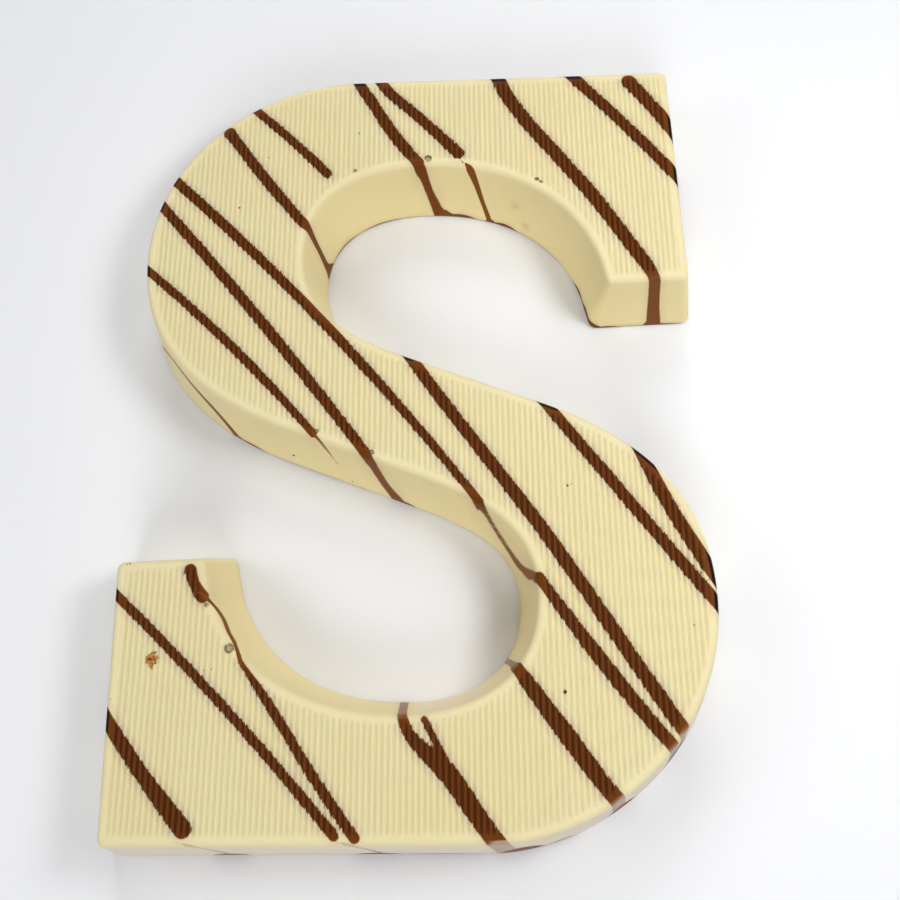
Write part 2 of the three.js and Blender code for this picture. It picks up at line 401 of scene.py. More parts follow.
# %% Rib sizes and the top face's heights
RIB_PITCH = 1.03
RIB_DEPTH = 0.3
RIB_COLUMNS = 6                  # grid columns in one rib
ROW_STEP = 0.8
RIB_END = (1.15, 1.95)           # how far inside the outline the grooves start and are full
CAP_MARGIN = 0.16


def groove(x):
    """How deep in a groove a place is: 1 at the middle of a groove and 0 on a crest. A raised
    cosine, with a groove at x = 0."""
    return 0.5 + 0.5 * np.cos(2 * np.pi * x / RIB_PITCH)


rib_field, top_faces = grid_cap(ring(profile[-1, 0]), RIB_PITCH / RIB_COLUMNS, ROW_STEP, CAP_MARGIN,
                                BUBBLES[:, :3])
ribbing = ease(edge_distance(rib_field, top_outline), *RIB_END)
top_z = THICKNESS - RIB_DEPTH * groove(rib_field[:, 0]) * ribbing
top = np.column_stack([rib_field, top_z])
print(len(top_faces), "faces on the ribbed top")

# %% [markdown]
# ## The poured underside
#
# The underside is where the mould was filled and scraped level. It shows nothing of the ribs. It
# is finished plainly: flat where it rests, with shallow hollows where the chocolate sank a little
# as it set.

# %% The underside's heights
UNDERSIDE_STEP = 2.6
SINK_DEPTH = 0.12
SINK_WAVE = 19.0                 # distance between two hollows
SINK_BORDER = (2.0, 8.0)

under_plan, under_faces = grid_cap(ring(profile[0, 0]), UNDERSIDE_STEP, UNDERSIDE_STEP, 1.0)
hollow = 0.5 + 0.25 * (np.sin(2 * np.pi * under_plan[:, 0] / SINK_WAVE)
                       + np.cos(2 * np.pi * under_plan[:, 1] / (1.3 * SINK_WAVE)))
sunk = SINK_DEPTH * hollow * ease(edge_distance(under_plan, ring(profile[0, 0])), *SINK_BORDER)
under = np.column_stack([under_plan, sunk])
print(len(under_faces), "faces on the underside")

# %% [markdown]
# ## One closed skin
#
# The wall's first ring is the border of the underside and its last ring is the border of the top,
# so the three parts share their points and the mesh is closed. Further down the script counts the
# edges that don't lie between two faces, and there must be none.

# %% Joining wall, top and underside
around = len(top_outline)
levels = len(profile)
k = np.arange(around)
start = (np.arange(levels - 1) * around)[:, None]
following = (k + 1) % around
wall_faces = np.stack([start + k, start + following, start + around + following, start + around + k], -1)
wall_faces = wall_faces.reshape(-1, 4)


def flipped(faces):
    """The same faces seen from the other side. The repeated number of a triangle stays last."""
    triangle = faces[:, 2:3] == faces[:, 3:]
    return np.where(triangle, faces[:, [2, 1, 0, 0]], faces[:, ::-1])


def renumber(faces, ring_start, inner_start):
    """Point numbers of a cap in the joined mesh: its border is a ring of the wall."""
    return np.where(faces < around, faces + ring_start, faces - around + inner_start)


places = np.concatenate([wall, top[around:], under[around:]])
faces = np.concatenate([
    wall_faces,
    renumber(top_faces, (levels - 1) * around, len(wall)),
    flipped(renumber(under_faces, 0, len(wall) + len(top) - around)),
])
is_top = np.zeros(len(places), bool)
is_top[len(wall):len(wall) + len(top) - around] = True
is_under = np.zeros(len(places), bool)
is_under[len(wall) + len(top) - around:] = True
print(len(places), "points and", len(faces), "faces in the letter's skin")

# %% [markdown]
# ## The dark lines
#
# The lines were piped over the mould in one slanting direction, by hand, so each is a little bent,
# a little thick or thin, and some end in a round blob where the nozzle started or stopped. In plan
# they run straight on over the walls. Each line is a short list of places that it passes, with its
# width and with how thick the dark layer is there, and a smooth curve goes through them. A layer
# of 1 is the normal one. Less lets the white show through, and 2 marks painted shade: where a line
# crosses the rounded edge it is painted near black, and this thins out a few millimetres down the wall.

# %% Each line as places (x, y, width, layer)
LINES = {
    "bowl_corner": [(-35.9, 70.6, 1.8, 2), (-25.1, 60.4, 1.9, 1), (-17.5, 52.2, 2.0, 1)],
    "bowl_inner": [(-38.0, 62.5, 2.7, 1), (-37.0, 61.1, 2.3, 1), (-30.1, 51.4, 2.3, 1),
                   (-21.9, 40.9, 2.1, 1)],
    "bowl_inner_wall": [(-21.9, 40.9, 2.1, 1), (-20.7, 39.6, 1.3, 0.95), (-19.8, 38.7, 1.1, 0.95),
                        (-18.3, 37.0, 1.9, 0.95)],
    "long_upper": [(-51.4, 54.3, 2.2, 2), (-17.2, 19.1, 2.0, 1), (12.0, -16.8, 1.6, 1)],
    "long_wall": [(12.0, -16.8, 1.4, 1), (12.6, -17.6, 0.8, 0.95), (13.2, -18.4, 0.5, 0.85),
                  (14.5, -20.1, 0.42, 0.8),
                  (17.0, -23.5, 0.42, 0.75), (19.6, -27.7, 0.6, 0.65), (21.2, -30.0, 1.1, 0.6)],
    "long_lower": [(22.2, -30.6, 1.9, 1), (32.3, -45.0, 2.5, 1), (43.0, -58.7, 2.2, 1),
                   (43.6, -59.4, 2.2, 0.3), (46.5, -63.0, 2.2, 0.25)],
    "spine_left": [(-53.8, 49.3, 2.1, 2), (-29.4, 19.8, 2.2, 1), (-8.9, -7.0, 2.0, 1)],
    "spine_left_wall": [(-8.9, -7.0, 2.0, 1), (-7.7, -8.7, 1.15, 0.9), (-5.7, -11.1, 0.9, 0.85),
                        (-3.5, -13.0, 1.05, 0.85)],
    "spine_short": [(-56.5, 34.8, 1.7, 2), (-35.1, 15.0, 1.85, 1), (-18.6, -3.2, 1.5, 1)],
    "arch": [(-12.6, 77.7, 2.3, 2), (-11.6, 74.0, 2.3, 1.1), (-9.2, 69.9, 2.4, 1), (-3.5, 60.1, 2.6, 1),
             (0.9, 54.2, 2.4, 1)],
    "arch_wall": [(0.9, 54.2, 1.8, 1), (1.8, 53.2, 1.35, 0.95), (2.9, 52.1, 1.1, 0.95),
                  (4.6, 50.8, 1.5, 0.95)],
    "arch_short": [(-8.8, 77.7, 2.3, 2), (-6.5, 73.2, 2.3, 1), (1.1, 65.0, 2.3, 1), (9.1, 56.1, 2.6, 1)],
    "terminal": [(16.0, 77.7, 2.9, 2), (17.4, 74.0, 2.9, 1.1), (19.1, 69.9, 2.9, 1), (21.7, 65.3, 2.9, 1),
                 (29.4, 54.4, 2.9, 1), (36.6, 44.1, 2.9, 1), (42.8, 33.8, 2.8, 1), (45.4, 29.6, 2.7, 1)],
    "terminal_wall": [(45.4, 29.6, 2.7, 1), (46.3, 27.3, 2.3, 0.9), (46.9, 26.0, 2.0, 0.85),
                      (47.6, 24.8, 2.1, 0.85), (48.9, 23.2, 2.5, 0.85)],
    "corner_line": [(29.3, 77.7, 2.5, 2), (42.7, 62.0, 2.5, 1), (56.3, 43.9, 2.5, 2)],
    "corner_blob": [(44.4, 72.0, 3.0, 1), (48.4, 66.5, 2.9, 1), (56.1, 52.6, 2.7, 2)],
    "belly_main": [(-4.8, 18.2, 2.3, 2), (0.4, 10.2, 2.3, 1), (23.8, -23.0, 2.5, 1), (44.9, -56.0, 2.5, 1),
                   (45.5, -56.9, 2.4, 0.3), (49.0, -62.4, 2.4, 0.25)],
    "belly_right": [(20.6, 7.1, 2.1, 2), (38.6, -16.9, 2.25, 1), (56.6, -40.7, 2.2, 2)],
    "belly_edge": [(39.3, -1.9, 2.4, 2), (46.9, -20.2, 2.5, 1), (57.0, -37.0, 2.6, 2)],
    "serif_long": [(-56.6, -29.1, 1.7, 2), (-31.9, -52.4, 1.7, 1), (-12.8, -72.6, 1.8, 1)],
    "serif_blob": [(-39.7, -28.4, 2.3, 1), (-38.9, -30.6, 2.0, 1), (-37.2, -33.2, 2.3, 1)],
    "serif_lower": [(-29.9, -44.4, 0.9, 1), (-24.5, -51.7, 1.7, 1), (-16.0, -64.2, 1.8, 1),
                    (-9.4, -73.0, 1.8, 1)],
    "foot_blob": [(-56.2, -48.3, 2.2, 2), (-45.1, -63.2, 2.5, 1), (-37.9, -71.4, 3.1, 1)],
    "base_fork": [(-2.8, -50.4, 1.5, 0.4), (-1.9, -53.2, 1.5, 0.45), (-1.4, -55.0, 1.9, 1),
                  (6.1, -63.3, 3.3, 1),
                  (12.9, -72.6, 3.0, 1), (13.6, -73.5, 3.0, 0.3), (16.6, -77.6, 3.4, 0.25)],
    "base_fork_branch": [(2.0, -54.4, 1.2, 0.9), (3.4, -57.0, 1.2, 0.9), (5.6, -61.2, 1.4, 1)],
    "base_right": [(16.3, -43.6, 1.0, 0.35), (17.4, -45.2, 1.2, 0.4), (18.0, -46.2, 2.1, 1),
                   (20.0, -49.0, 2.6, 1), (25.7, -56.9, 3.0, 1),
                   (33.2, -66.9, 2.7, 1), (33.8, -67.6, 2.7, 0.3), (37.2, -72.0, 2.6, 0.25)],
}
THREADS = {
    "bowl_outer": [(-54.0, 22.0, 0.22, 0.8), (-46.8, 13.1, 0.24, 0.8), (-44.0, 9.5, 0.3, 0.85),
                   (-41.8, 7.0, 0.34, 0.9), (-39.8, 4.9, 0.4, 0.95), (-36.6, 1.2, 0.6, 1)],
    "arch_wall": [(11.0, 53.1, 1.0, 1), (12.3, 52.0, 0.7, 1), (14.1, 50.2, 0.5, 1), (15.3, 49.0, 0.6, 1)],
    "spine_wall": [(-18.3, -3.5, 0.6, 1), (-17.0, -4.9, 0.35, 0.9), (-15.8, -6.1, 0.18, 0.7)],
    "serif": [(-37.0, -33.0, 0.8, 1), (-35.1, -34.8, 0.36, 1), (-33.9, -36.6, 0.3, 1),
              (-32.4, -39.4, 0.34, 1), (-31.1, -41.4, 0.4, 1), (-29.8, -44.4, 0.8, 1)],
    "base_left": [(-37.5, -73.8, 0.5, 0.3), (-34.9, -74.8, 0.5, 0.35), (-33.0, -76.9, 0.9, 0.6)],
    "base_middle": [(-11.3, -73.8, 0.5, 0.3), (-8.3, -75.0, 0.6, 0.35), (-5.9, -77.0, 0.9, 0.6)],
}
LINE_STEP = 1.0


def through(knots):
    """A smooth curve through all knots, column by column: cubic Hermite pieces over the chord
    length. The slopes of x and y come from the neighbouring knots, and width and layer are level
    at each knot. Returns rows like the knots."""
    knots = np.array(knots, float)
    chord = np.r_[0, np.cumsum(np.linalg.norm(np.diff(knots[:, :2], axis=0), axis=1))]
    slope = np.gradient(knots, chord, axis=0, edge_order=2) * (1, 1, 0, 0)
    place = np.union1d(np.linspace(0, chord[-1], int(np.ceil(chord[-1] / LINE_STEP)) + 1), chord)
    piece = np.clip(np.searchsorted(chord, place, side="right") - 1, 0, len(chord) - 2)
    length = (chord[piece + 1] - chord[piece])[:, None]
    u = (place - chord[piece])[:, None] / length
    a, b = knots[piece], knots[piece + 1]
    rise = (3 - 2 * u) * u * u
    bend = slope[piece] * u * (1 - u) ** 2 - slope[piece + 1] * u * u * (1 - u)
    return a + (b - a) * rise + length * bend


def bands(lines):
    """The short straight bands of all these lines: starts and ends, as rows like the knots."""
    curves = [through(knots) for knots in lines.values()]
    starts = np.concatenate([curve[:-1] for curve in curves])
    ends = np.concatenate([curve[1:] for curve in curves])
    return starts, ends


line_starts, line_ends = bands(LINES)
thread_starts, thread_ends = bands(THREADS)
band_count = len(line_starts) + len(thread_starts)
print(len(LINES), "piped lines and", len(THREADS), "threads as", band_count, "bands")

# %% [markdown]
# ## How a line meets the ribs
#
# Chocolate that is piped over a ribbed mould creeps along each groove before it sets. So the edge
# of a line is not straight: it shifts a little at every groove and runs flatter across each rib.
# Both edges of a line shift together, so the whole lookup is shifted: the distance is taken from a
# place moved along Y by a sawtooth of x.

# %% The distance from the nearest dark line, for every point of the skin
TOOTH = 0.26                     # total shift along Y at a groove, as a share of the rib pitch
NO_LINE = 5.0                    # a distance that means that no line is near
EDGE_SHADE_REACH = 0.7                  # mm inside the outline within which a line is painted near black, as painted shade
UPPER_EDGE_SHADE_REACH = 1.2            # and the same along the straight upper edge
EDGE_SHADE_HEIGHTS = (THICKNESS - 3.5, THICKNESS - 1.5)   # between these heights the painted shade thins out down the wall
EDGE_FADE = 0.7                  # and from which it may fade


def measure(points, starts, ends):
    """The distance from the nearest band, and the band's number, share and layer there."""
    off, band, share = nearest(points, starts[:, :2], ends[:, :2],
                               np.column_stack([starts[:, 2], ends[:, 2]]) / 2).T
    band = band.astype(int)
    return off, band, share, starts[band, 3] * (1 - share) + ends[band, 3] * share


phase = (places[:, 0] / RIB_PITCH) % 1
depth_inside = np.where(inside(places[:, :2], top_outline), edge_distance(places[:, :2], top_outline), 0)
ribbed = ease(depth_inside, *RIB_END) * (places[:, 2] > THICKNESS / 2)
shift = TOOTH * RIB_PITCH * (phase - 0.6) * ribbed
looked_up = places[:, :2] - np.column_stack([np.zeros(len(places)), shift])


line_distance, _, _, layer_and_edge_shade = measure(looked_up, line_starts, line_ends)
line_distance = np.where(is_under, NO_LINE, line_distance)
# Painted shade: a line marked above 1 that reaches the edge is raised to 2 over the rounded edge, which
# paints it near black, and falls back to 1 further down the wall
shade_reach_here = np.where(places[:, 1] > TOP_Y - 2, UPPER_EDGE_SHADE_REACH, EDGE_SHADE_REACH)
shaded_edge_layer = 1 + ease(places[:, 2], *EDGE_SHADE_HEIGHTS)
layer_and_edge_shade = np.where((layer_and_edge_shade > 1.02) & (depth_inside < shade_reach_here), shaded_edge_layer, np.minimum(layer_and_edge_shade, 1))
layer_and_edge_shade = np.where((layer_and_edge_shade < 1) & (depth_inside > EDGE_FADE) & (places[:, 2] > THICKNESS - 1), 1, layer_and_edge_shade)
print("dark lines cover", round(100 * float((line_distance[is_top] < 0).mean()), 1), "% of the top")

# %% Threads: so thin that a point stores on which side of the middle it lies, and how far
THREAD_REACH = (1.2, 1.8)        # mm from a thread at which its values fade out

off, band, share, thread_layer = measure(places[:, :2], thread_starts, thread_ends)
begin, end = thread_starts[band], thread_ends[band]
thread_half = (begin[:, 2] * (1 - share) + end[:, 2] * share) / 2
gap = places[:, :2] - begin[:, :2]
along = end[:, :2] - begin[:, :2]
side = np.sign(along[:, 0] * gap[:, 1] - along[:, 1] * gap[:, 0])
thread_offset = side * (off + thread_half)
thread_near = (1 - ease(off, *THREAD_REACH)) * ~is_under * thread_layer

# %% [markdown]
# ## Smears, bubbles, smudges and painted shade
#
# Where a line ran down into the rim of the mould it spread sideways, which left a low dark foot
# along the base. Small air bubbles opened at the upper edge. Both are part of this letter. A thin
# dark band all round the foot is painted shade where the letter meets the table, and the bubble
# pits are painted dark inside as painted shade.

# %% Low dark feet along the base, as (x, y, half length, height)
SMEARS = np.array([
    (-19.0, 38.1, 2.4, 2.4), (-15.5, 43.5, 6.5, 0.8), (-8.5, 49.7, 7.0, 0.7),            # upper counter
    (5.6, 50.9, 2.0, 2.4), (9.0, 50.6, 4.2, 1.3), (15.5, 49.4, 1.5, 1.5), (18.5, 47.9, 3.6, 1.2),
    (27.0, 41.5, 8.0, 0.3), (33.3, 31.5, 3.8, 1.2), (34.8, 27.0, 3.5, 1.5), (36.0, 24.5, 2.5, 1.7),
    (39.0, 24.1, 3.5, 0.9), (47.8, 24.1, 2.6, 0.9), (51.0, 24.1, 3.6, 0.75),
    (-36.9, 0.8, 1.6, 2.2), (-33.8, -0.6, 4.5, 1.3), (-22.0, -5.6, 11.0, 0.5),           # spine
    (-11.3, -9.7, 1.2, 0.6), (-2.6, -13.1, 2.8, 1.4),
    (-3.5, -50.7, 8.0, 0.5), (15.8, -42.6, 2.0, 0.7),                                    # lower counter
    (-33.0, -76.8, 4.0, 3.0), (-7.0, -76.9, 5.0, 3.0), (4.0, -76.9, 9.0, 1.2),           # along the bottom
    (18.5, -76.4, 4.2, 7.0), (25.5, -74.7, 3.0, 2.0), (36.5, -69.7, 3.4, 6.0), (46.0, -60.0, 4.0, 5.5),
    (50.0, -55.5, 3.0, 0.9), (-56.0, -76.2, 3.0, 0.6),
])
FOOT_SHADE_HEIGHT = 0.2                  # mm above the table painted dark all round: painted shade where the letter meets the table
SMEAR_LAYER = 0.85               # smears are thinner than a line, so a little white shows through
apart = np.linalg.norm(places[:, None, :2] - SMEARS[:, :2], axis=2)
foot_height = SMEARS[:, 3] * (1 - (apart / SMEARS[:, 2]) ** 2)
# Painted shade: besides the smears, a thin band all round the foot is painted dark
smear_and_foot_shade_distance = places[:, 2] - np.maximum(foot_height.max(1), FOOT_SHADE_HEIGHT)
smear_and_foot_shade_distance = np.where(is_under, NO_LINE, smear_and_foot_shade_distance)
layer_and_edge_shade = np.where(smear_and_foot_shade_distance < 0, SMEAR_LAYER, layer_and_edge_shade)
# From here the line distance also covers the smears and the painted shade at the foot
line_distance = np.minimum(line_distance, smear_and_foot_shade_distance)

# %% Painted reflection: a pale grey sheen painted on the wall that faces front, at the letter's foot
toward_reader = np.where(places[:, 0] > 0, ease(-places[:, 1], 40, 62), ease(-places[:, 1], 66, 75))
facing = toward_reader * (edge_distance(places[:, :2], ring(WALL_FLARE)) < WALL_FLARE + 0.1)
on_wall = (depth_inside == 0) * ease(THICKNESS - places[:, 2], 0.2, 1.5) * ~is_under
painted_reflection = facing * on_wall

# %% Opening the bubbles
BUBBLE_LIP = 0.05                # height of the thin lip round an opened bubble

near = np.linalg.norm(places[:, None, :2] - BUBBLES[:, :2], axis=2) / BUBBLES[:, 2]
near = np.where(places[:, 2:] > THICKNESS - 2, near, 9)
crater = BUBBLES[:, 3] * (1 - ease(near, 0.2, 1.0)) - BUBBLE_LIP * np.exp(-((near - 1.05) / 0.15) ** 2)
places[:, 2] -= np.where(is_top[:, None], crater, np.maximum(crater, 0)).sum(1)
# Painted shade: each bubble pit is painted dark inside and in a ring just within its rim
pit_shade_and_smudge = (np.exp(-((near - 0.85) / 0.2) ** 2) + 0.55 * (1 - ease(near, 0.6, 0.9))).max(1)

# %% Two faint smudges on the arch wall, as (x, y, z, radius)
SMUDGES = np.array([(20.5, 48.4, 7.9, 0.8), (22.7, 46.0, 3.0, 1.0)])
from_smudge = np.linalg.norm(places[:, None] - SMUDGES[:, :3], axis=2) / SMUDGES[:, 3]
pit_shade_and_smudge = np.maximum(pit_shade_and_smudge, 0.3 * np.exp(-from_smudge**2).max(1))

# %% [markdown]
# ## Making the mesh
#
# The arrays go into the mesh in whole. What the material needs to know is stored on the points:
# the distance from the nearest line, smear and band of painted foot shade, the thickness of the dark
# layer, with 2 for the painted edge shade, the depth in a groove, and the painted shade in the
# bubble pits with the smudges.


# %% From arrays to an object
def mesh_object(name, points, polygons, smooth=True):
    """An object at the origin whose mesh has these points, given in millimetres, and these faces:
    rows of four numbers, the last repeated where the face is a triangle."""
    triangle = polygons[:, 2] == polygons[:, 3]
    lists = polygons[~triangle].tolist() + polygons[triangle, :3].tolist()
    mesh = bpy.data.meshes.new(name)
    mesh.from_pydata((points * MM).tolist(), [], lists)
    if mesh.validate():
        raise ValueError(name + ": Blender had to repair this mesh")
    if smooth:
        mesh.shade_smooth()
    made = bpy.data.objects.new(name, mesh)
    bpy.context.scene.collection.objects.link(made)
    return made


def store(made, name, values):
    """Keeps one number for each point of the mesh under that name."""
    attribute = made.data.attributes.new(name, "FLOAT", "POINT")
    attribute.data.foreach_set("value", np.asarray(values, np.float32))


letter = mesh_object("letter_body", places, faces)
store(letter, "line_distance", line_distance)
store(letter, "layer_and_edge_shade", layer_and_edge_shade)
store(letter, "thread_offset", thread_offset)
store(letter, "thread_half", thread_half)
store(letter, "thread_near", thread_near)
store(letter, "groove", groove(places[:, 0]) * ribbed)
store(letter, "pit_shade_and_smudge", pit_shade_and_smudge)
store(letter, "painted_reflection", painted_reflection)
store(letter, "ribbed", ribbed)
store(letter, "wall", on_wall)
letter.data.calc_loop_triangles()
sides_used = np.zeros(len(letter.data.loops), int)
letter.data.loops.foreach_get("edge_index", sides_used)
open_edges = int((np.bincount(sides_used, minlength=len(letter.data.edges)) != 2).sum())
print("letter_body:", len(letter.data.loop_triangles), "triangles and", open_edges, "open edges")

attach(letter, "root")
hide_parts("letter")

# %% [markdown]
# ## Crumbs on the surface
#
# A golden crumb stuck to the mould and now sits in the letter's foot, and a few dark flecks lie
# about. They are real lumps, a few tenths of a millimetre high, so that they catch the light.


# %% Small lumps
LUMP_RINGS = 6
LUMP_SPOKES = 10


def lumps(spots, seed):
    """Small closed lumps, one for each row (x, y, z, radius, height): a ball squashed to its
    height, each point moved in or out by up to a third at random. Returns points and faces."""
    dice = np.random.default_rng(seed)
    tilt = np.linspace(0, np.pi, LUMP_RINGS + 1)[1:-1, None]
    spin = np.linspace(0, 2 * np.pi, LUMP_SPOKES, endpoint=False)
    ball = np.stack([np.sin(tilt) * np.cos(spin), np.sin(tilt) * np.sin(spin),
                     np.cos(tilt) + 0 * spin], -1).reshape(-1, 3)
    ball = np.concatenate([ball, [(0, 0, 1), (0, 0, -1)]])
    size = np.stack([spots[:, 3], spots[:, 3], spots[:, 4]], 1)
    rough = dice.uniform(0.67, 1.33, (len(spots), len(ball), 1))
    points = spots[:, None, :3] + ball * rough * size[:, None]

    inner = LUMP_RINGS - 1
    k = np.arange(LUMP_SPOKES)
    step = (k + 1) % LUMP_SPOKES
    level = (np.arange(inner - 1) * LUMP_SPOKES)[:, None]
    sides = np.stack([level + k, level + LUMP_SPOKES + k, level + LUMP_SPOKES + step, level + step], -1)
    last = (inner - 1) * LUMP_SPOKES
    top_fan = np.stack([0 * k + last + LUMP_SPOKES, k, step, step], 1)
    low_fan = np.stack([0 * k + last + LUMP_SPOKES + 1, last + step, last + k, last + k], 1)
    one = np.concatenate([sides.reshape(-1, 4), top_fan, low_fan])
    shift = (np.arange(len(spots)) * len(ball))[:, None, None]
    return points.reshape(-1, 3), (one + shift).reshape(-1, 4)


# %% The golden crumb and the dark flecks
CRUMB = np.array([
    (-45.4, -43.7, 0.62, 0.45), (-45.0, -44.3, 0.50, 0.42), (-45.9, -44.3, 0.45, 0.30),
    (-45.2, -43.0, 0.38, 0.30), (-44.6, -43.6, 0.36, 0.28), (-45.5, -44.9, 0.34, 0.30),
    (-46.1, -43.6, 0.30, 0.22), (-45.2, -45.4, 0.20, 0.20), (-44.7, -42.7, 0.18, 0.18),
])
FLECKS = np.array([
    (-35.1, 45.0, 15.4, 0.20), (-29.7, 56.5, 15.4, 0.12), (-11.2, 61.6, 15.4, 0.15),
    (27.9, -14.1, 15.4, 0.20), (28.6, -13.9, 15.4, 0.10), (43.7, -30.0, 15.4, 0.10),
    (25.9, -50.2, 15.4, 0.30), (-51.8, -50.5, 15.4, 0.14), (-34.8, -45.7, 15.4, 0.12),
    (-36.1, -45.9, 15.4, 0.10), (-45.9, -65.0, 15.4, 0.12), (48.4, -39.3, 15.4, 0.12),
    (36.6, 33.7, 15.4, 0.14), (38.7, 27.7, 15.4, 0.16), (39.5, 27.8, 15.4, 0.11),
    (43.7, 27.8, 15.4, 0.14), (-9.8, -63.7, 15.4, 0.09), (49.2, -29.0, 15.4, 0.16),
    (50.4, -30.3, 15.4, 0.14), (-24.3, -3.9, 4.5, 0.26), (-15.0, -6.8, 8.3, 0.15),
    (-13.0, -8.8, 2.1, 0.18), (-51.2, -27.3, 15.3, 0.20), (-50.7, -27.1, 15.3, 0.14),
    (-51.6, -27.6, 15.2, 0.14),
])
crumb_spots = np.column_stack([CRUMB[:, :2], np.full(len(CRUMB), THICKNESS - 0.1), CRUMB[:, 2:]])
crumb = mesh_object("golden_crumb", *lumps(crumb_spots, 5))
flecks = mesh_object("cocoa_flecks", *lumps(np.column_stack([FLECKS, 0.6 * FLECKS[:, 3]]), 8))
for piece in (crumb, flecks):
    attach(piece, "root")
print(len(CRUMB), "lumps in the golden crumb and", len(FLECKS), "flecks")

# %% [markdown]
# ## Colour helpers
#
# Colours are written as they would be picked from a screen. The shader works in linear light, so
# one function converts them.


# %% Colours and nodes
def colour(hex_code):
    """sRGB hex to linear RGBA: below a small threshold a straight line, above it a power."""
    value = np.array([int(hex_code[i:i + 2], 16) for i in (1, 3, 5)]) / 255
    linear = np.where(value <= 0.04045, value / 12.92, ((value + 0.055) / 1.055) ** 2.4)
    return (*linear.tolist(), 1.0)


def add(material, kind, settings=None, **links):
    """Adds a node, sets its properties and unlinked inputs from settings, and links the inputs
    named in links: each value is an output socket, a number or a colour. An input's name is
    written with underscores for spaces, or as in_0, in_1 by its place."""
    node = material.node_tree.nodes.new(kind)
    for key, value in (settings or {}).items():
        if hasattr(node, key):
            setattr(node, key, value)
        else:
            node.inputs[key].default_value = value
    for key, value in links.items():
        socket = node.inputs[int(key[3:])] if key.startswith("in_") else node.inputs[key.replace("_", " ")]
        if isinstance(value, bpy.types.NodeSocket):
            material.node_tree.links.new(value, socket)
        else:
            socket.default_value = value
    return node


def new_material(name):
    """An empty node material with its output node."""
    material = bpy.data.materials.new(name)
    material.use_nodes = True
    material.node_tree.nodes.clear()
    return material, add(material, "ShaderNodeOutputMaterial")


# %% [markdown]
# ## Tempered chocolate
#
# Both chocolates are mostly cocoa butter that set against a polished mould. That gives a satin
# gloss, broad and soft, with an index of refraction near 1.46. White chocolate lets light in a
# little, which fills the grooves between the ribs with warm light. The two were cast together, so
# one material carries both, and the distance from the nearest line decides which is which. The
# border wanders a little, by a noise that is stretched along the ribs.

# %% The chocolate material
WHITE = ("#e8deb6", "#e4d6a6")   # two creams that drift into each other
WHITE_ON_WALL = "#e4d5a3"
# painted shade: the cream is painted darker in the grooves between the ribs
WHITE_GROOVE_SHADE = "#c6b880"
SIDE_TINT = "#a8948a"                # a grey tint beside a line, stronger in the grooves
SIDE_TINT_WIDTH = 1.5                # mm
SIDE_TINT_ON_CREST = 0.16            # its strength on a crest,
SIDE_TINT_IN_GROOVE = 0.38           # and how much stronger it is in a groove
# painted reflection: the pale grey sheen painted on the wall that faces front
PAINTED_REFLECTION = "#ddd1c8"
DARK = ("#5e2d05", "#77400d")
# painted shade: the dark lines are painted darker in the grooves between the ribs
DARK_GROOVE_SHADE = "#321200"
THIN_DARK = "#8a5c38"            # a thin dark layer, with the white showing through
FAINT_DARK = "#a08a82"
# painted shade: the near black of a line over the rounded edge
EDGE_SHADE_DARK = "#160703"
THREAD = "#7a4512"
# painted shade in the bubble pits, and the colour of the two smudges
PIT_SHADE_AND_SMUDGE = "#5c4a1c"
EDGE_SOFTNESS = 0.12             # mm over which dark turns into white
THREAD_SOFTNESS = 0.06
RAGGEDNESS = 0.85                # mm that the noise at a line's edge spans, on the ribs


